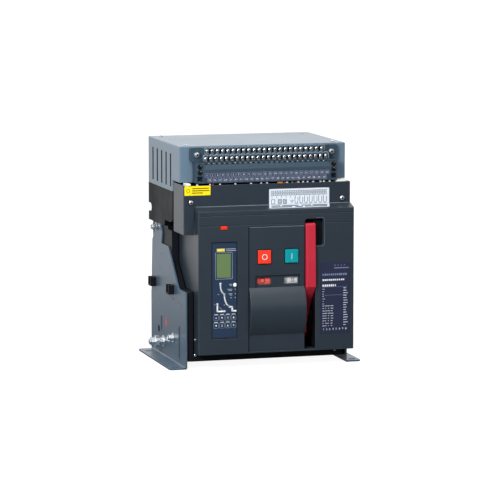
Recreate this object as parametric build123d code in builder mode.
from build123d import *
import math
import os

os.makedirs("parts", exist_ok=True)

# A fixed low-voltage air circuit breaker with three poles. Millimetres, +Z up, the front faces -Y.
# The origin is under the middle of the breaker, on the surface that its feet stand on.

# ---- whole breaker: the pole pitch and the bay width set every outer width ----
overall_height = 402.0
front_reach = 161.5
rear_reach = 161.5
pole_pitch = 95.0
bay_width = 89.0
side_wall_t = 10.0
poles = {"left": -pole_pitch, "centre": 0.0, "right": pole_pitch}
seat_gap = 0.3
running_gap = 0.05

# ---- side plates with feet ----
plate_t = 3.0
plate_inner = pole_pitch + bay_width / 2 + side_wall_t
plate_outer = plate_inner + plate_t
foot_w = 28.5
feet_width = 2 * (plate_outer + foot_w)
plate_front = -121.0
plate_back = 129.0
plate_knee = 141.0
plate_shoulder = 209.5
plate_top = 245.7
foot_front = -117.0
foot_back = 119.0
foot_slot_out = 14.5
foot_slot_span_x = 2 * (plate_outer + foot_slot_out)
foot_slot_span_y = 192.0
foot_slot_mid_y = -8.0
foot_slot_r = 4.5
foot_slot_length = 15.0
foot_corner_r = 6.0
plate_bend_r = 2.5
rivet_hole_r = 1.5
earth_stud_r = 5.0
plate_bolt_r = 4.0
bolt_clearance = 0.1

# ---- moulded base ----
base_bottom = 14.0
floor_t = 10.0
floor_top = base_bottom + floor_t
base_front_y = -116.0
base_split_y = 15.0
base_back_y = 125.0
cheek_t = 12.5
cheek_inner = plate_inner - cheek_t
cheek_top = 240.0
bulkhead_t = 10.0
base_top = 246.0
rear_wall_t = 6.0

# ---- arc chamber housing, chutes and hood ----
hood_overhang = 3.5
hood_half = plate_outer + hood_overhang
housing_top = 316.0
housing_front = -48.0
housing_back = 132.0
hood_front = -96.0
hood_back = 131.0
hood_step_y = -44.0
hood_front_bottom = 336.7
hood_wall = 3.0
hood_slot_pitch = 32.2
hood_slot_mid_y = 33.6
hood_slot_count = 5
hood_slot_w = 9.0
hood_slot_z = (323.8, 384.2)
chute_top = overall_height - 8.0
chute_wall = 3.0
splitter_count = 9
splitter_t = 2.0

# ---- front face ----
cover_face = -148.0
cover_left = -plate_outer + 16.7
cover_right = plate_outer + 4.4
cover_bottom = 29.8
cover_top = 288.5
cover_lip = 295.0
cover_wall = 3.0
panel_half = plate_outer + 3.8
panel_face = -124.0
panel_back = -53.5
panel_top = 333.7
panel_low = 283.0
panel_tab_low = 245.0
panel_tab_right = cover_left - 0.7
panel_wall = 3.0

# ---- centre fascia with its buttons and flags ----
fascia_left = -41.8
fascia_right = 63.3
fascia_top = 259.5
fascia_gap = 0.4
fascia_face = cover_face + fascia_gap
fascia_back = -130.0
fascia_bottom = cover_bottom + cover_wall + fascia_gap
bulge_top = 148.3
bulge_bottom = 61.8
band_x = (-29.5, 55.2)
band_z = (148.3, 170.0)
band_depth = 3.0
flag_window = (26.2, 12.5)
off_x = -12.9
on_x = 38.1
button_z = 204.1
button_size = 24.4
button_proud = 3.2
button_travel = 4.0
flag_z = 160.0

# ---- charging handle and its slot ----
slot_right = 83.7
slot_bottom = 33.0
slot_top = 270.2
handle_x = (64.2, 82.7)
pocket_right = 99.0
pocket_z = (221.0, 270.5)
pocket_depth = 12.0
cam_y = -88.0
cam_z = 62.0
cam_r = 8.0
sleeve_r = 12.0

# ---- mechanism frame ----
frame_t = 3.0
frame_left_x = -36.0
frame_right_x = 55.0
frame_front = -128.0
tray_t = 3.0
tray_front = panel_face + panel_wall
tray_back = 0.0
tray_left = cover_left + 3.0
tray_half = panel_half - panel_wall - 4.3

# ---- contact drive ----
shaft_y = -28.0
shaft_z = 110.0
shaft_r = 11.0
pivot_y = 60.0
crank_r = 34.0
crank_angle = 11.0
pin_r = 4.0
pivot_r = 5.0
travel = 2 * crank_angle

# ---- main conductors ----
bar_w = 60.0
bar_t = 15.0
upper_bar_z = 205.0
lower_bar_z = 95.0
terminal_hole_r = 5.5
terminal_hole_pitch = 30.0
terminal_hole_y = 145.0


def keep(piece, node):
    """Label a finished piece and write it as one STEP file."""
    piece.label = node
    export_step(piece, f"parts/{node}.step")


def box(x, y, z, mode=Mode.ADD):
    """A block from its three (low, high) spans, inside the open BuildPart."""
    with Locations(((x[0] + x[1]) / 2, (y[0] + y[1]) / 2, (z[0] + z[1]) / 2)):
        Box(x[1] - x[0], y[1] - y[0], z[1] - z[0], mode=mode)


def rod(x, y, z, radius, mode=Mode.ADD):
    """A round bar along X from x[0] to x[1], inside the open BuildPart."""
    with BuildSketch(Plane.YZ.offset(x[0])) as section:
        with Locations((y, z)):
            Circle(radius)
    extrude(section.sketch, amount=x[1] - x[0], mode=mode)


def side_profile(points, x, mode=Mode.ADD):
    """Extrude a side view outline, given as (Y, Z) points, from x[0] to x[1]."""
    with BuildSketch(Plane.YZ.offset(x[0])) as outline:
        with BuildLine():
            Polyline(*points, close=True)
        make_face()
    extrude(outline.sketch, amount=x[1] - x[0], mode=mode)


def edges_at(builder, along, places):
    """The straight edges of a BuildPart that run along an axis and lie at the given coordinates."""
    found = builder.edges().filter_by(along)
    for axis, value in places.items():
        found = found.filter_by_position(axis, value - 0.1, value + 0.1)
    return found


def lever(start, end, radius, x):
    """A flat lever from x[0] to x[1]: two round ends joined by straight flanks."""
    with BuildSketch(Plane.YZ.offset(x[0])) as flank:
        with Locations(start, end):
            Circle(radius)
        make_hull()
    extrude(flank.sketch, amount=x[1] - x[0])


# ---- side plates: 3 mm steel, bent out at the foot, with slots for four floor bolts ----
plate_outline = [
    (plate_front, 0), (plate_front, plate_knee), (-68.7, plate_knee), (3.0, plate_shoulder),
    (53.0, plate_shoulder), (47.0, 229.0), (58.0, plate_top), (98.8, plate_top), (99.0, 230.0),
    (120.0, plate_shoulder), (125.0, 150.0), (125.0, 120.0), (plate_back, 111.0), (plate_back, 0),
]
plate_holes = [(53.0, 190.0), (53.0, 164.6), (66.0, 144.2), (-35.0, 117.5), (-68.6, 115.5), (-94.0, 114.0)]
earth_yz = (37.0, 29.0)
stud_yz = (-32.5, 45.6)
lug_yz = (88.0, 236.5)
for side, sign in (("left", -1), ("right", 1)):
    faces = sorted((sign * plate_inner, sign * plate_outer))
    foot = sorted((sign * plate_inner, sign * feet_width / 2))
    with BuildPart() as side_plate:
        side_profile(plate_outline, faces)
        box(foot, (foot_front, foot_back), (0, plate_t))
        inside_bend = edges_at(side_plate, Axis.Y, {Axis.X: sign * plate_outer, Axis.Z: plate_t})
        fillet(inside_bend, plate_bend_r)
        outside_bend = edges_at(side_plate, Axis.Y, {Axis.X: sign * plate_inner, Axis.Z: 0})
        fillet(outside_bend, plate_bend_r + plate_t - 0.5)
        fillet(edges_at(side_plate, Axis.Z, {Axis.X: sign * feet_width / 2}), foot_corner_r)
        with BuildSketch(Plane.XY.offset(plate_t)):
            for slot_y in (-foot_slot_span_y / 2, foot_slot_span_y / 2):
                with Locations((sign * foot_slot_span_x / 2, foot_slot_mid_y + slot_y)):
                    SlotOverall(foot_slot_length, 2 * foot_slot_r)
        extrude(amount=-plate_t, mode=Mode.SUBTRACT)
        for hole_y, hole_z in plate_holes:
            rod(faces, hole_y, hole_z, rivet_hole_r, mode=Mode.SUBTRACT)
        for (hole_y, hole_z), bolt_r in ((earth_yz, earth_stud_r), (stud_yz, plate_bolt_r), (lug_yz, plate_bolt_r)):
            rod(faces, hole_y, hole_z, bolt_r + bolt_clearance, mode=Mode.SUBTRACT)
    keep(side_plate.part, f"side_plate_{side}")

# ---- base, front half: cheeks, floor and a bulkhead that the three drive links pass through ----
cheek_outline = [
    (base_front_y, base_bottom), (base_front_y, plate_knee), (-63.0, plate_knee), (-14.0, 182.0),
    (-14.0, cheek_top), (base_split_y, cheek_top), (base_split_y, base_bottom),
]
link_window = (-9.0, 9.0)
with BuildPart() as base_front:
    side_profile(cheek_outline, (-plate_inner, -cheek_inner))
    side_profile(cheek_outline, (cheek_inner, plate_inner))
    front_edges = base_front.edges().filter_by(Axis.Z).group_by(Axis.Y)[0].group_by(Axis.X)
    fillet(front_edges[0] + front_edges[-1], 7.0)
    box((-cheek_inner, cheek_inner), (base_front_y, base_split_y), (base_bottom, floor_top))
    box((-cheek_inner, cheek_inner), (base_split_y - bulkhead_t, base_split_y), (floor_top, cheek_top))
    for pole_x in poles.values():
        box((pole_x + link_window[0], pole_x + link_window[1]),
            (base_split_y - bulkhead_t, base_split_y), (130.0, 158.0), mode=Mode.SUBTRACT)
    rod((-cheek_inner - 6.2, cheek_inner + 6.2), shaft_y, shaft_z, shaft_r + running_gap, mode=Mode.SUBTRACT)
keep(base_front.part, "base_front")

# ---- base, rear half: three pole chambers with a window for each conductor ----
with BuildPart() as base_rear:
    box((-plate_inner, plate_inner), (base_split_y, base_back_y), (base_bottom, base_top))
    for pole_x in poles.values():
        box((pole_x - bay_width / 2, pole_x + bay_width / 2),
            (base_split_y, base_back_y - rear_wall_t), (floor_top, base_top), mode=Mode.SUBTRACT)
        for bar_z in (upper_bar_z, lower_bar_z):
            box((pole_x - bar_w / 2 - seat_gap, pole_x + bar_w / 2 + seat_gap),
                (base_back_y - rear_wall_t, base_back_y),
                (bar_z - bar_t / 2 - seat_gap, bar_z + bar_t / 2 + seat_gap), mode=Mode.SUBTRACT)
keep(base_rear.part, "base_rear")

# ---- arc chamber housing: the black band that overhangs the side plates and holds the chutes ----
notch_z = (262.0, 278.0)
notch_y = 118.0
chute_y_span = (21.0, 105.0)
housing_skirt = 258.0
with BuildPart() as chute_housing:
    with BuildSketch(Plane.YZ.offset(-hood_half)):
        with BuildLine():
            Polyline((housing_front, housing_top), (housing_front, housing_skirt + 6), (-30.0, housing_skirt),
                     (11.0, housing_skirt), (16.0, base_top), (housing_back, base_top),
                     (housing_back, notch_z[0]), (notch_y, notch_z[0]))
            ThreePointArc((notch_y, notch_z[0]), (notch_y - 7.5, sum(notch_z) / 2), (notch_y, notch_z[1]))
            Polyline((notch_y, notch_z[1]), (housing_back, notch_z[1]), (housing_back, housing_top),
                     (housing_front, housing_top))
        make_face()
    extrude(amount=2 * hood_half)
    fillet(chute_housing.edges().filter_by(Axis.Z).filter_by_position(
        Axis.Y, housing_front - 0.1, housing_front + 0.1), 4.5)
    box((-hood_half + 6, hood_half - 6), (housing_front + 5, base_split_y), (200, housing_top), mode=Mode.SUBTRACT)
    for pole_x in poles.values():
        box((pole_x - bay_width / 2, pole_x + bay_width / 2), chute_y_span, (200, housing_top), mode=Mode.SUBTRACT)
keep(chute_housing.part, "chute_housing")

# ---- arc chutes: an open-bottomed case for each pole, filled with steel splitter plates ----
chute_half = bay_width / 2 - seat_gap
chute_y = (chute_y_span[0] + seat_gap, chute_y_span[1] - seat_gap)
chute_bottom = base_top + 4
for name, pole_x in poles.items():
    with BuildPart() as arc_chute:
        box((pole_x - chute_half, pole_x + chute_half), chute_y, (chute_bottom, chute_top))
        box((pole_x - chute_half + chute_wall, pole_x + chute_half - chute_wall),
            (chute_y[0] + chute_wall, chute_y[1] - chute_wall),
            (chute_bottom, chute_top - chute_wall), mode=Mode.SUBTRACT)
        with BuildSketch(Plane.XY.offset(chute_top - chute_wall)):
            with Locations((pole_x, (chute_y[0] + chute_y[1]) / 2)):
                with GridLocations(0, 12, 1, 5):
                    SlotOverall(64, 4)
        extrude(amount=chute_wall, mode=Mode.SUBTRACT)
    keep(arc_chute.part, f"arc_chute_{name}")

splitter_half = chute_half - chute_wall
splitter_z = (chute_bottom + 14, chute_top - chute_wall)
with BuildPart() as splitter_plates:
    for pole_x in poles.values():
        for index in range(splitter_count):
            plate_y = chute_y[0] + 12 + index * 7.4
            with BuildSketch(Plane.XZ.offset(-plate_y)):
                with BuildLine():
                    Polyline((pole_x - splitter_half, splitter_z[0]), (pole_x - splitter_half, splitter_z[1]),
                             (pole_x + splitter_half, splitter_z[1]), (pole_x + splitter_half, splitter_z[0]),
                             (pole_x + 14, splitter_z[0]), (pole_x, splitter_z[0] + 45),
                             (pole_x - 14, splitter_z[0]), close=True)
                make_face()
            extrude(amount=-splitter_t)
keep(splitter_plates.part, "splitter_plates")

# ---- hood over the arc chutes: a thin painted shell, stepped in front, with vent slots ----
hood_outline = [
    (hood_front, hood_front_bottom), (hood_front, overall_height), (hood_back, overall_height),
    (hood_back, housing_top), (hood_step_y, housing_top), (hood_step_y, hood_front_bottom),
]
with BuildPart() as arc_hood:
    side_profile(hood_outline, (-hood_half, hood_half))
    fillet(arc_hood.edges().filter_by(Axis.Z).group_by(Axis.Y)[0], 2.5)
    fillet(arc_hood.faces().sort_by(Axis.Z)[-1].edges(), 2.0)
    box((-hood_half + hood_wall, hood_half - hood_wall), (hood_front + hood_wall, hood_back - hood_wall),
        (housing_top, overall_height - hood_wall), mode=Mode.SUBTRACT)
    with BuildSketch(Plane.YZ.offset(-hood_half)):
        with Locations((hood_slot_mid_y, sum(hood_slot_z) / 2)):
            with GridLocations(hood_slot_pitch, 0, hood_slot_count, 1):
                Rectangle(hood_slot_w, hood_slot_z[1] - hood_slot_z[0])
    extrude(amount=2 * hood_half, mode=Mode.SUBTRACT)
keep(arc_hood.part, "arc_hood")

# ---- secondary terminal block: two stepped rows of screw terminals between moulded barriers ----
block_half = 132.0
ear_half = 138.0
block_bottom = 337.0
block_top = overall_height - 2.0
ear_bottom = 374.0
shelf_z = 387.5
upper_row_y = hood_front - 10.0
lower_row_y = upper_row_y - 9.0
block_face = lower_row_y - 8.0
terminal_pitch = 9.8
barrier_t = 2.2
terminal_depth = 5.0
end_block_w = 13.3
socket_r = 3.8
rows = (
    {"count": 23, "face": upper_row_y, "z": (shelf_z + 1.0, block_top)},
    {"count": 24, "face": lower_row_y, "z": (ear_bottom + 0.5, shelf_z - 1.5)},
)
row_half = rows[1]["count"] * terminal_pitch / 2 + barrier_t / 2
with BuildPart() as terminal_block:
    side_profile([(hood_front, block_bottom), (hood_front, block_top), (upper_row_y, block_top),
                  (upper_row_y, shelf_z), (lower_row_y, shelf_z), (lower_row_y, ear_bottom - 1),
                  (block_face + 1.5, ear_bottom - 6), (block_face, ear_bottom - 12), (block_face, block_bottom)],
                 (-row_half, row_half))
    box((-ear_half, ear_half), (hood_front - 8, hood_front), (ear_bottom, block_top))
    for ear_x in (-ear_half, ear_half):
        fillet(edges_at(terminal_block, Axis.Y, {Axis.X: ear_x}), 4.0)
    for sign in (-1, 1):
        end_x = sorted((sign * (block_half - end_block_w - 1), sign * block_half))
        box(end_x, (block_face, hood_front), (block_bottom, ear_bottom))
        socket_x = sign * (block_half - end_block_w / 2)
        with BuildSketch(Plane.XZ.offset(-block_face)):
            with Locations((socket_x, ear_bottom - 6), (socket_x, ear_bottom - 16.5)):
                Circle(socket_r)
        extrude(amount=-9.0, mode=Mode.SUBTRACT)
        box((socket_x - 5.0, socket_x + 5.0), (block_face, block_face + 11.0),
            (block_bottom + 3.5, block_bottom + 12.7), mode=Mode.SUBTRACT)
    for row in rows:
        pocket_w = terminal_pitch - barrier_t
        for index in range(row["count"]):
            terminal_x = (index - (row["count"] - 1) / 2) * terminal_pitch
            box((terminal_x - pocket_w / 2, terminal_x + pocket_w / 2),
                (row["face"], row["face"] + terminal_depth), row["z"], mode=Mode.SUBTRACT)
keep(terminal_block.part, "terminal_block")

# ---- upper panel: dark cover over the coils, with a tab that hangs down beside the front cover ----
with BuildPart() as upper_panel:
    with BuildSketch(Plane.XZ.offset(-panel_face)):
        with BuildLine():
            Polyline((-panel_half, panel_tab_low), (-panel_half, panel_top), (panel_half, panel_top),
                     (panel_half, panel_low), (panel_tab_right, panel_low), (panel_tab_right, panel_tab_low),
                     close=True)
        make_face()
    extrude(amount=-panel_wall)
    for sign in (-1, 1):
        wall_x = sorted((sign * (panel_half - panel_wall), sign * panel_half))
        box(wall_x, (panel_face, panel_back), (panel_tab_low, panel_top))
    fillet(upper_panel.edges().filter_by(Axis.Z).filter_by_position(
        Axis.Y, panel_face - 0.1, panel_face + 0.1).filter_by_position(
        Axis.X, -panel_half - 0.1, -panel_half + 0.1), 2.0)
keep(upper_panel.part, "upper_panel")

# ---- front cover: one moulding with windows for the trip unit, the fascia and the handle ----
window_x = (-111.5, -63.0)
window_z = (58.0, 233.4)
reset_x = -88.4
reset_z = 259.2
reset_size = (13.0, 6.9)
reset_travel = 3.0
left_wall = [
    (cover_face, cover_bottom), (base_front_y - seat_gap, cover_bottom), (base_front_y - seat_gap, 141.3),
    (-63.3, 141.3), (-14.3, 182.3), (-14.3, 235.0), (-121.0, 282.0), (panel_face - seat_gap, 282.0),
    (panel_face - seat_gap, cover_lip), (cover_face, cover_top),
]
right_wall = [
    (cover_face, cover_bottom), (base_front_y - seat_gap, cover_bottom), (-96.0, 60.0), (-96.0, 238.0),
    (panel_face - seat_gap, 243.0), (panel_face - seat_gap, cover_lip), (cover_face, cover_top),
]
shell_front = [
    (cover_face, cover_bottom), (plate_front - seat_gap, cover_bottom),
    (plate_front - seat_gap, cover_bottom + cover_wall), (cover_face + cover_wall, cover_bottom + cover_wall),
    (cover_face + cover_wall, cover_top - 2.2), (panel_face - seat_gap, cover_lip - 4.0),
    (panel_face - seat_gap, cover_lip), (cover_face, cover_top),
]
groove_z = (262.6, 280.5)
groove_w = 0.9
groove_depth = 0.7
with BuildPart() as front_cover:
    side_profile(shell_front, (cover_left, cover_right))
    side_profile(left_wall, (cover_left, cover_left + 2.5))
    side_profile(right_wall, (cover_right - cover_wall, cover_right))
    fillet(edges_at(front_cover, Axis.Z, {Axis.X: cover_right, Axis.Y: cover_face}), 2.8)
    fillet(edges_at(front_cover, Axis.Z, {Axis.X: cover_left, Axis.Y: cover_face}), 1.5)
    for groove in groove_z:
        box((cover_left, cover_right), (cover_face, cover_face + groove_depth),
            (groove - groove_w / 2, groove + groove_w / 2), mode=Mode.SUBTRACT)
    box((slot_right, pocket_right + 2), (cover_face + cover_wall, cover_face + cover_wall + pocket_depth),
        (pocket_z[0] - 2, pocket_z[1] + 2))
    with BuildSketch(Plane.XZ.offset(-cover_face)):
        with Locations(((slot_right + pocket_right) / 2 - 4, sum(pocket_z) / 2)):
            RectangleRounded(pocket_right - slot_right + 8, pocket_z[1] - pocket_z[0], 4.0)
    extrude(amount=-(cover_wall + pocket_depth - 2), mode=Mode.SUBTRACT)
    box((fascia_left, fascia_right), (cover_face, cover_face + cover_wall),
        (cover_bottom + cover_wall, fascia_top), mode=Mode.SUBTRACT)
    box((fascia_right, slot_right), (cover_face, cover_face + cover_wall + pocket_depth),
        (slot_bottom, slot_top), mode=Mode.SUBTRACT)
    box(window_x, (cover_face, cover_face + cover_wall), window_z, mode=Mode.SUBTRACT)
    fillet(edges_at(front_cover, Axis.Y, {Axis.X: fascia_right, Axis.Z: slot_top}), 4.0)
    box((reset_x - reset_size[0] / 2, reset_x + reset_size[0] / 2), (cover_face, cover_face + cover_wall),
        (reset_z - reset_size[1] / 2, reset_z + reset_size[1] / 2), mode=Mode.SUBTRACT)
keep(front_cover.part, "front_cover")

# ---- centre fascia: the mechanism's own moulded face, bulging over the charging gear ----
bulge_rise = front_reach + fascia_face
bulge_mid_z = (bulge_top + bulge_bottom) / 2
bulge_crown = (fascia_face - bulge_rise, bulge_mid_z)
fascia_x = (fascia_left + fascia_gap, fascia_right - fascia_gap)
fascia_wall = 3.0
with BuildPart() as mechanism_fascia:
    box(fascia_x, (fascia_face, fascia_back), (fascia_bottom, fascia_top - fascia_gap))
    front_rim = mechanism_fascia.faces().sort_by(Axis.Y)[0].edges()
    chamfer(front_rim.sort_by(Axis.Z)[-1], 1.2)
    chamfer(mechanism_fascia.faces().sort_by(Axis.Y)[0].edges().sort_by(Axis.X)[0], 0.8)
    with BuildSketch(Plane.YZ.offset(fascia_x[0])):
        with BuildLine():
            Line((fascia_face, bulge_bottom), (fascia_face, bulge_top))
            ThreePointArc((fascia_face, bulge_top), bulge_crown, (fascia_face, bulge_bottom))
        make_face()
    extrude(amount=fascia_x[1] - fascia_x[0])
    box((fascia_x[0] + fascia_wall, fascia_x[1] - fascia_wall), (fascia_face + fascia_wall, fascia_back),
        (fascia_bottom + fascia_wall, fascia_top - fascia_gap - fascia_wall), mode=Mode.SUBTRACT)
    with BuildSketch(Plane.YZ.offset(fascia_x[0] + fascia_wall)):
        with BuildLine():
            Line((fascia_face + fascia_wall, bulge_bottom), (fascia_face + fascia_wall, bulge_top))
            ThreePointArc((fascia_face + fascia_wall, bulge_top),
                          (bulge_crown[0] + fascia_wall, bulge_mid_z),
                          (fascia_face + fascia_wall, bulge_bottom))
        make_face()
    extrude(amount=fascia_x[1] - fascia_x[0] - 2 * fascia_wall, mode=Mode.SUBTRACT)
    box((band_x[0] - 2, band_x[1] + 2), (fascia_face, fascia_face + band_depth + fascia_wall),
        (band_z[0] - 2, band_z[1] + 2))
    box(band_x, (fascia_face - 1, fascia_face + band_depth), band_z, mode=Mode.SUBTRACT)
    for flag_x in (off_x, on_x):
        box((flag_x - flag_window[0] / 2, flag_x + flag_window[0] / 2),
            (fascia_face, fascia_face + band_depth + fascia_wall),
            (flag_z - flag_window[1] / 2, flag_z + flag_window[1] / 2), mode=Mode.SUBTRACT)
        hole = button_size / 2 + seat_gap
        box((flag_x - hole, flag_x + hole), (fascia_face, fascia_face + fascia_wall),
            (button_z - hole, button_z + hole), mode=Mode.SUBTRACT)
keep(mechanism_fascia.part, "mechanism_fascia")

# ---- push buttons: square caps with a flange behind the fascia and a round stem ----
button_cap_back = fascia_face + fascia_wall + seat_gap + button_travel
for button_x, node in ((on_x, "on_button"), (off_x, "off_button")):
    with BuildPart() as button:
        half = button_size / 2
        box((button_x - half, button_x + half), (fascia_face - button_proud, button_cap_back),
            (button_z - half, button_z + half))
        fillet(button.edges().filter_by(Axis.Y), 1.5)
        chamfer(button.faces().sort_by(Axis.Y)[0].edges(), 0.8)
        box((button_x - half - 1.5, button_x + half + 1.5), (fascia_face + fascia_wall + seat_gap,
            fascia_face + fascia_wall + seat_gap + 2.0), (button_z - half - 1.5, button_z + half + 1.5))
        with BuildSketch(Plane.XZ.offset(-button_cap_back)):
            with Locations((button_x, button_z)):
                Circle(4.0)
        extrude(amount=-18.0)
    keep(button.part, node)

reset_clear = 0.25
with BuildPart() as reset_button:
    box((reset_x - reset_size[0] / 2 + reset_clear, reset_x + reset_size[0] / 2 - reset_clear),
        (cover_face - 1.2, cover_face + 9.0),
        (reset_z - reset_size[1] / 2 + reset_clear, reset_z + reset_size[1] / 2 - reset_clear))
    with BuildSketch(Plane.XZ.offset(-cover_face - 9.0)):
        with Locations((reset_x, reset_z)):
            Circle(2.5)
    extrude(amount=-24.0)
keep(reset_button.part, "reset_button")

# ---- electronic trip unit: case, navy facia and its display window ----
case_x = (-131.0, -56.0)
case_back = -62.0
facia_t = 4.0
facia_y = (cover_face + 1.8, cover_face + 1.8 + facia_t)
case_front = facia_y[1]
facia_fit = 0.4
with BuildPart() as trip_unit_case:
    box(case_x, (case_front, case_back), (46.0, cheek_top - 0.3))
    box(case_x, (base_front_y + 8, case_back), (floor_top, 46.0))
    fillet(trip_unit_case.edges().filter_by(Axis.Z).group_by(Axis.Y)[-1], 4.0)
keep(trip_unit_case.part, "trip_unit_case")

lcd_x = (-101.3, -74.7)
lcd_z = (168.5, 212.4)
with BuildPart() as trip_unit_facia:
    box((window_x[0] + facia_fit, window_x[1] - facia_fit), facia_y, (window_z[0] + facia_fit, window_z[1] - facia_fit))
    box(lcd_x, (facia_y[0], facia_y[0] + 1.5), lcd_z, mode=Mode.SUBTRACT)
keep(trip_unit_facia.part, "trip_unit_facia")
with BuildPart() as trip_unit_display:
    box((lcd_x[0] + 0.2, lcd_x[1] - 0.2), (facia_y[0] + 0.3, facia_y[0] + 1.5), (lcd_z[0] + 0.2, lcd_z[1] - 0.2))
keep(trip_unit_display.part, "trip_unit_display")

# ---- mechanism frame: two steel plates on the base floor, tied by studs ----
frame_back = base_split_y - bulkhead_t
frame_outline = [
    (frame_front, floor_top + 14), (frame_front, cheek_top), (-60.0, cheek_top), (frame_back, 175.0),
    (frame_back, floor_top), (base_front_y + 2, floor_top), (base_front_y + 2, floor_top + 14),
]
frame_sides = (("left", frame_left_x, cam_r + running_gap), ("right", frame_right_x, sleeve_r + running_gap))
for name, plate_x, cam_bore in frame_sides:
    with BuildPart() as mechanism_plate:
        side_profile(frame_outline, (plate_x, plate_x + frame_t))
        rod((plate_x, plate_x + frame_t), cam_y, cam_z, cam_bore, mode=Mode.SUBTRACT)
        rod((plate_x, plate_x + frame_t), shaft_y, shaft_z, shaft_r + 0.4, mode=Mode.SUBTRACT)
    keep(mechanism_plate.part, f"mechanism_plate_{name}")

inner_left = frame_left_x + frame_t
flag_axis = (-123.5, flag_z)
flag_pin_r = 2.0
anchor_yz = (cam_y, 212.0)
anchor_r = 4.0
studs = [((-118.0, 231.0), 4.0), ((-70.0, 231.0), 4.0), ((-14.0, 50.0), 5.0), ((-50.0, 34.0), 5.0),
         (anchor_yz, anchor_r), (flag_axis, flag_pin_r)]
with BuildPart() as mechanism_studs:
    for (stud_y, stud_z), stud_r in studs:
        rod((inner_left, frame_right_x), stud_y, stud_z, stud_r)
keep(mechanism_studs.part, "mechanism_studs")

# ---- tray: bent steel shelf above the mechanism that carries the coils and the upper panel ----
coil_y = (-108.0, -64.0)
coils = {"undervoltage": -47.0, "shunt_trip": -4.0, "closing": 38.0}
coil_w = 40.0
coil_h = 46.0
tray_z = (cheek_top, cheek_top + tray_t)
tray_flange_top = 320.0
plunger_r = 4.0
coil_mid_y = sum(coil_y) / 2
with BuildPart() as release_tray:
    box((tray_left, tray_half), (tray_front, tray_back), tray_z)
    box((tray_left, tray_half), (tray_front, tray_front + tray_t), (tray_z[0], tray_flange_top))
    box((-tray_half, tray_half), (tray_front, tray_front + tray_t), (panel_low + 1.0, tray_flange_top))
    for coil_x in coils.values():
        with BuildSketch(Plane.XY.offset(tray_z[0])):
            with Locations((coil_x, coil_mid_y)):
                Circle(plunger_r + 0.6)
        extrude(amount=tray_t, mode=Mode.SUBTRACT)
    with BuildSketch(Plane.XZ.offset(-tray_front)):
        with Locations((reset_x, reset_z)):
            Circle(2.5 + running_gap)
    extrude(amount=-tray_t, mode=Mode.SUBTRACT)
    box((-70.0, 130.0), (tray_front, tray_front + tray_t), (250.0, 278.0), mode=Mode.SUBTRACT)
keep(release_tray.part, "release_tray")

coil_z = (tray_z[1], tray_z[1] + coil_h)
plunger_travel = 6.0
for name, coil_x in coils.items():
    with BuildPart() as coil:
        box((coil_x - coil_w / 2, coil_x + coil_w / 2), coil_y, coil_z)
        with BuildSketch(Plane.XY.offset(coil_z[0])):
            with Locations((coil_x, coil_mid_y)):
                Circle(plunger_r + running_gap)
        extrude(amount=coil_h, mode=Mode.SUBTRACT)
        chamfer(coil.edges().filter_by(Axis.Z).group_by(Axis.Y)[0], 4.0)
    keep(coil.part, f"{name}_coil")
    with BuildPart() as plunger:
        with BuildSketch(Plane.XY.offset(coil_z[0] - 12)):
            with Locations((coil_x, coil_mid_y)):
                Circle(plunger_r)
        extrude(amount=coil_h + 12 + plunger_travel + seat_gap)
        with BuildSketch(Plane.XY.offset(coil_z[1] + plunger_travel + seat_gap)):
            with Locations((coil_x, coil_mid_y)):
                Circle(8.0)
        extrude(amount=3.0)
    keep(plunger.part, f"{name}_plunger")

with BuildPart() as auxiliary_switch:
    switch_x = (tray_half - 87.0, tray_half - 7.0)
    switch_top = tray_z[1] + 53.0
    box(switch_x, (-110.0, -62.0), (tray_z[1], switch_top))
    for index in range(8):
        contact_x = switch_x[0] + 6.0 + index * 9.7
        box((contact_x - 1.8, contact_x + 1.8), (-110.0, -62.0), (switch_top - 4.0, switch_top),
            mode=Mode.SUBTRACT)
keep(auxiliary_switch.part, "auxiliary_switch")

# ---- charging motor: gearbox on the right frame plate, motor alongside ----
motor_yz = (-76.0, 72.0)
with BuildPart() as charging_motor:
    box((frame_right_x + frame_t, 88.0), (-72.0, -46.0), (50.0, 94.0))
    rod((88.0, 130.0), *motor_yz, 20.0)
    rod((130.0, 135.0), *motor_yz, 9.0)
keep(charging_motor.part, "charging_motor")

# ---- camshaft, ratchet wheel, closing spring ----
ratchet_x = (44.0, 50.0)
ratchet_r = 34.0
ratchet_teeth = 20
crank_pin = 20.0
crank_disc_r = 27.0
with BuildPart() as camshaft:
    rod((inner_left - frame_t - 5, handle_x[1]), cam_y, cam_z, cam_r)
    rod((28.0, 32.0), cam_y, cam_z, crank_disc_r)
    rod((32.0, 38.0), cam_y, cam_z + crank_pin, 4.0)
    with BuildSketch(Plane.YZ.offset(2.0)):
        with BuildLine():
            ThreePointArc((cam_y, cam_z + 16), (cam_y - 16, cam_z), (cam_y, cam_z - 16))
            ThreePointArc((cam_y, cam_z - 16), (cam_y + 24, cam_z), (cam_y, cam_z + 16))
        make_face()
    extrude(amount=12.0)
keep(camshaft.part, "camshaft")

with BuildPart() as ratchet_wheel:
    with BuildSketch(Plane.YZ.offset(ratchet_x[0])):
        with BuildLine():
            teeth = []
            for index in range(ratchet_teeth):
                start = 2 * math.pi * index / ratchet_teeth
                end = start + 2 * math.pi / ratchet_teeth * 0.85
                teeth.append((cam_y + (ratchet_r - 4) * math.cos(start), cam_z + (ratchet_r - 4) * math.sin(start)))
                teeth.append((cam_y + ratchet_r * math.cos(end), cam_z + ratchet_r * math.sin(end)))
            Polyline(*teeth, close=True)
        make_face()
        with Locations((cam_y, cam_z)):
            Circle(cam_r + running_gap, mode=Mode.SUBTRACT)
            with PolarLocations(19.0, 6):
                Circle(5.0, mode=Mode.SUBTRACT)
    extrude(amount=ratchet_x[1] - ratchet_x[0])
keep(ratchet_wheel.part, "ratchet_wheel")

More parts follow.
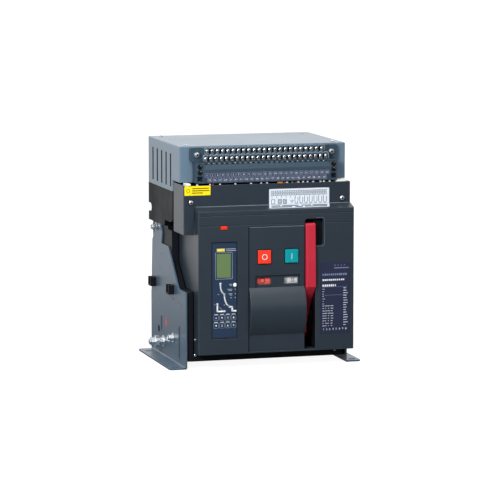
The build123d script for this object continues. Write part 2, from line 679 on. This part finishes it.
spring_r = 7.0
spring_wire = 1.6
spring_turns = 8
bends_per_turn = 10
spring_x = 35.0
spring_z = (cam_z + crank_disc_r + spring_wire + seat_gap, anchor_yz[1] - anchor_r - spring_wire - seat_gap)
spring_path = []
for bend_index in range(spring_turns * bends_per_turn + 1):
    bend_turn = 2 * math.pi * bend_index / bends_per_turn
    bend_height = (spring_z[1] - spring_z[0]) * bend_index / (spring_turns * bends_per_turn)
    spring_path.append((spring_x + spring_r * math.cos(bend_turn), cam_y + spring_r * math.sin(bend_turn),
                        spring_z[0] + bend_height))
with BuildPart() as closing_spring:
    with BuildLine() as coil_path:
        Polyline(*spring_path)
    with BuildSketch(Plane(origin=coil_path.line @ 0, z_dir=coil_path.line % 0)):
        RegularPolygon(spring_wire, 6)
    sweep(transition=Transition.RIGHT)
keep(closing_spring.part, "closing_spring")

# ---- charging handle: a moulded lever whose sleeve turns on the camshaft ----
grip_front = [(-151.9, 263.0), (-155.6, 190.0), (-155.8, 147.0), (-141.2, 130.5), (-124.4, 113.3),
              (-110.0, 89.0), (-101.5, 68.0)]
grip_rear = [(-76.5, 68.0), (-90.5, 97.0), (-107.0, 124.0), (-127.0, 143.0), (-141.5, 158.0),
             (-139.5, 262.0)]
with BuildPart() as charging_handle:
    with BuildSketch(Plane.YZ.offset(handle_x[0])):
        with BuildLine():
            Polyline(*grip_front, *grip_rear, close=True)
        make_face()
        with Locations((cam_y, cam_z)):
            Circle(14.5)
    extrude(amount=handle_x[1] - handle_x[0])
    fillet(charging_handle.edges().filter_by(Axis.X).group_by(Axis.Z)[-1], 4.0)
    fillet(charging_handle.faces().sort_by(Axis.X)[0].edges(), 2.0)
    fillet(charging_handle.faces().sort_by(Axis.X)[-1].edges(), 2.0)
    rod((frame_right_x - 4.2, handle_x[0]), cam_y, cam_z, sleeve_r)
    rod((frame_right_x - 4.2, handle_x[1]), cam_y, cam_z, cam_r + running_gap, mode=Mode.SUBTRACT)
keep(charging_handle.part, "charging_handle")

pawl_x = (frame_right_x - 4.2, frame_right_x - 0.4)
with BuildPart() as drive_pawl:
    with BuildSketch(Plane.YZ.offset(pawl_x[0])):
        with Locations((cam_y, cam_z)):
            Circle(17.5)
        with BuildLine():
            Polyline((cam_y + 4, cam_z + 15), (cam_y + 15, cam_z + 4), (cam_y + 38, cam_z + 22),
                     (cam_y + 30, cam_z + 32), close=True)
        make_face()
        with Locations((cam_y, cam_z)):
            Circle(sleeve_r + running_gap, mode=Mode.SUBTRACT)
    extrude(amount=pawl_x[1] - pawl_x[0])
    side_profile([(cam_y + 30.5, cam_z + 17.5), (cam_y + 38, cam_z + 22), (cam_y + 30, cam_z + 32),
                  (cam_y + 22, cam_z + 27.2)], (ratchet_x[0], pawl_x[0]))
keep(drive_pawl.part, "drive_pawl")

# ---- main shaft: one bar across all poles with a forked crank for each ----
tilt = math.radians(crank_angle)
crank_offset = (-crank_r * math.sin(tilt), crank_r * math.cos(tilt))
crank_pin_yz = (shaft_y + crank_offset[0], shaft_z + crank_offset[1])
link_t = 10.0
fork_gap = 1.0
fork_t = 5.0
fork_out = link_t / 2 + fork_gap + fork_t
with BuildPart() as main_shaft:
    rod((-cheek_inner - 6, cheek_inner + 6), shaft_y, shaft_z, shaft_r)
    for pole_x in poles.values():
        rod((pole_x - fork_out, pole_x + fork_out), shaft_y, shaft_z, 16.0)
        lever((shaft_y, shaft_z), crank_pin_yz, 8.0, (pole_x - fork_out, pole_x - fork_out + fork_t))
        lever((shaft_y, shaft_z), crank_pin_yz, 8.0, (pole_x + fork_out - fork_t, pole_x + fork_out))
        rod((pole_x - fork_out, pole_x + fork_out), *crank_pin_yz, pin_r)
keep(main_shaft.part, "main_shaft")

# ---- drive links: moulded bars that stay level while the cranks and carriers swing together ----
carrier_pin_yz = (pivot_y + crank_offset[0], shaft_z + crank_offset[1])
with BuildPart() as drive_links:
    for pole_x in poles.values():
        span = (pole_x - link_t / 2, pole_x + link_t / 2)
        lever(crank_pin_yz, carrier_pin_yz, 7.0, span)
        for eye in (crank_pin_yz, carrier_pin_yz):
            rod(span, *eye, pin_r + running_gap, mode=Mode.SUBTRACT)
keep(drive_links.part, "drive_links")

# ---- contact carriers with their copper fingers, drawn swung open about the pole pivots ----
pivot_axis = Axis((0, pivot_y, shaft_z), (1, 0, 0))
carrier_half = 33.0
finger_t = 5.0
finger_offsets = (14.0, 21.5, 29.0)
closed_pin_yz = (pivot_y - crank_offset[0], shaft_z + crank_offset[1])
slot_half = link_t / 2 + 2.5
with BuildPart() as contact_pivots:
    for pole_x in poles.values():
        rod((pole_x - bay_width / 2, pole_x + bay_width / 2), pivot_y, shaft_z, pivot_r)
keep(contact_pivots.part, "contact_pivots")

for name, pole_x in poles.items():
    span = (pole_x - carrier_half, pole_x + carrier_half)
    with BuildPart() as contact_carrier:
        rod(span, pivot_y, shaft_z, 12.0)
        box(span, (pivot_y - 10, pivot_y), (shaft_z, shaft_z + 55))
        box((pole_x - slot_half, pole_x + slot_half), (pivot_y - 10, pivot_y),
            (shaft_z + 14, shaft_z + 55), mode=Mode.SUBTRACT)
        for near in (pole_x - slot_half - 3, pole_x + slot_half):
            box((near, near + 3), (pivot_y - 10, pivot_y + 14), (shaft_z + 20, shaft_z + 46))
        rod((pole_x - slot_half, pole_x + slot_half), *closed_pin_yz, pin_r)
        rod(span, pivot_y, shaft_z, pivot_r + running_gap, mode=Mode.SUBTRACT)
    keep(contact_carrier.part.rotate(pivot_axis, travel), f"contact_carrier_{name}")

finger_outline = [
    (pivot_y, shaft_z + 16), (pivot_y, shaft_z + 108), (pivot_y + 5, shaft_z + 114),
    (pivot_y + 9, shaft_z + 110), (pivot_y + 10, shaft_z + 103), (pivot_y + 14, shaft_z + 101),
    (pivot_y + 14, shaft_z + 88), (pivot_y + 10, shaft_z + 86), (pivot_y + 10, shaft_z + 16),
]
with BuildPart() as contact_fingers:
    for pole_x in poles.values():
        for offset in finger_offsets:
            for sign in (-1, 1):
                finger_x = pole_x + sign * offset
                side_profile(finger_outline, (finger_x - finger_t / 2, finger_x + finger_t / 2))
keep(contact_fingers.part.rotate(pivot_axis, travel), "contact_fingers")

# ---- main conductors: upper bars with the fixed contacts, lower bars through the transformers ----
contact_face_y = pivot_y + 14 + seat_gap
for name, pole_x in poles.items():
    bar_x = (pole_x - bar_w / 2, pole_x + bar_w / 2)
    for level, bar_z, bar_front in (("upper", upper_bar_z, contact_face_y + 9), ("lower", lower_bar_z, 76.0)):
        with BuildPart() as terminal:
            box(bar_x, (bar_front, rear_reach), (bar_z - bar_t / 2, bar_z + bar_t / 2))
            fillet(terminal.edges().filter_by(Axis.Z).group_by(Axis.Y)[-1], 4.0)
            with BuildSketch(Plane.XY.offset(bar_z - bar_t / 2)):
                with Locations((pole_x, terminal_hole_y)):
                    with GridLocations(terminal_hole_pitch, 0, 2, 1):
                        Circle(terminal_hole_r)
            extrude(amount=bar_t, mode=Mode.SUBTRACT)
            if level == "upper":
                box((pole_x - carrier_half, pole_x + carrier_half), (contact_face_y, bar_front),
                    (bar_z - 13, bar_z + 13))
                box((pole_x - 12, pole_x + 12), (contact_face_y + 3, bar_front), (bar_z + 13, chute_bottom - 2))
        keep(terminal.part, f"{level}_terminal_{name}")

transformer_y = (90.0, base_back_y - rear_wall_t)
for name, pole_x in poles.items():
    with BuildPart() as current_transformer:
        box((pole_x - 41, pole_x + 41), transformer_y, (lower_bar_z - 30, lower_bar_z + 30))
        fillet(current_transformer.edges().filter_by(Axis.Y), 8.0)
        box((pole_x - bar_w / 2 - seat_gap, pole_x + bar_w / 2 + seat_gap), transformer_y,
            (lower_bar_z - bar_t / 2 - seat_gap, lower_bar_z + bar_t / 2 + seat_gap), mode=Mode.SUBTRACT)
    keep(current_transformer.part, f"current_transformer_{name}")

# ---- flexible braids: from each lower bar up to the open fingers ----
braid_w = 20.0
braid_t = 3.0
braid_foot = (80.0, lower_bar_z + bar_t / 2)
braid_crown = (82.5, 117.0)
braid_tip = (66.6, 129.5)
with BuildPart() as contact_braids:
    for pole_x in poles.values():
        for near in (pole_x - 31.5, pole_x + 11.5):
            with BuildSketch(Plane.YZ.offset(near)):
                with BuildLine():
                    low = ThreePointArc(braid_foot, braid_crown, braid_tip)
                    high = ThreePointArc((braid_foot[0] + braid_t, braid_foot[1]),
                                         (braid_crown[0] + braid_t, braid_crown[1] + 1.0),
                                         (braid_tip[0] + braid_t, braid_tip[1] + 0.6))
                    Line(low @ 0, high @ 0)
                    Line(low @ 1, high @ 1)
                make_face()
            extrude(amount=braid_w)
keep(contact_braids.part, "contact_braids")

# ---- flags behind the fascia windows: barrel segments on one pin ----
flag_w = 29.0
flag_r = 16.0
for flag_x, node in ((off_x, "contact_flag"), (on_x, "charge_flag")):
    flag_span = (flag_x - flag_w / 2, flag_x + flag_w / 2)
    if flag_span[0] < inner_left:
        flag_span = (inner_left + 0.5, flag_span[1])
    with BuildPart() as flag:
        with BuildSketch(Plane.YZ.offset(flag_span[0])):
            with Locations(flag_axis):
                Circle(flag_r)
                Circle(flag_r - 2, mode=Mode.SUBTRACT)
            with BuildLine():
                Polyline(flag_axis, (flag_axis[0] - 14, flag_axis[1] - 30), (flag_axis[0] + 40, flag_axis[1] - 30),
                         (flag_axis[0] + 40, flag_axis[1] + 16), close=True)
            make_face(mode=Mode.SUBTRACT)
        extrude(amount=flag_span[1] - flag_span[0])
        with BuildSketch(Plane.YZ.offset(flag_span[0])):
            with Locations(flag_axis):
                Circle(4.0)
            with BuildLine():
                Polyline(flag_axis, (flag_axis[0] - 14, flag_axis[1] - 3), (flag_axis[0] - 14, flag_axis[1] + 3),
                         close=True)
            make_face()
            with Locations(flag_axis):
                Circle(flag_pin_r + running_gap, mode=Mode.SUBTRACT)
        extrude(amount=flag_span[1] - flag_span[0])
    keep(flag.part, node)

# ---- plate hardware: hex bolts through both plates, the earth bolt, and moulded clips ----
washer_t = 1.5
bolt_head_t = 6.5
with BuildPart() as plate_bolts:
    for sign in (-1, 1):
        outward = Plane(origin=(0, 0, 0), x_dir=(0, sign, 0), z_dir=(sign, 0, 0))
        for bolt_yz, washer_r in ((stud_yz, 9.0), (lug_yz, 7.5)):
            at = (sign * bolt_yz[0], bolt_yz[1])
            with BuildSketch(outward.offset(plate_outer)):
                with Locations(at):
                    Circle(washer_r)
            extrude(amount=washer_t)
            with BuildSketch(outward.offset(plate_outer + washer_t)):
                with Locations(at):
                    RegularPolygon(6.5, 6)
            extrude(amount=bolt_head_t)
            with BuildSketch(outward.offset(plate_inner)):
                with Locations(at):
                    Circle(plate_bolt_r)
            extrude(amount=plate_t + washer_t + bolt_head_t + 3.0)
keep(plate_bolts.part, "plate_bolts")

earth_reach = 28.0
earth_stack = ((1.5, 11.0, "round"), (8.0, 8.5, "hex"), (6.0, 11.0, "round"), (1.5, 11.0, "round"), (8.0, 8.5, "hex"))
with BuildPart() as earth_bolt:
    outward = Plane(origin=(0, 0, 0), x_dir=(0, -1, 0), z_dir=(-1, 0, 0))
    at = (-earth_yz[0], earth_yz[1])
    with BuildSketch(outward.offset(plate_inner)):
        with Locations(at):
            Circle(earth_stud_r)
    extrude(amount=plate_t + earth_reach)
    reach = plate_outer
    for thickness, radius, form in earth_stack:
        with BuildSketch(outward.offset(reach)):
            with Locations(at):
                if form == "hex":
                    RegularPolygon(radius, 6)
                else:
                    Circle(radius)
        extrude(amount=thickness)
        reach += thickness
keep(earth_bolt.part, "earth_bolt")

clips = ((92.0, 124.0), (-40.0, 126.5))
clip_size = (20.0, 10.5, 17.0)
with BuildPart() as plate_clips:
    for sign in (-1, 1):
        for clip_y, clip_z in clips:
            clip_x = sorted((sign * plate_outer, sign * (plate_outer + clip_size[1])))
            hollow_x = sorted((sign * (plate_outer + 3), sign * (plate_outer + clip_size[1])))
            box(clip_x, (clip_y, clip_y + clip_size[0]), (clip_z, clip_z + clip_size[2]))
            box(hollow_x, (clip_y + 3, clip_y + clip_size[0] - 3), (clip_z + 3, clip_z + clip_size[2]),
                mode=Mode.SUBTRACT)
keep(plate_clips.part, "plate_clips")
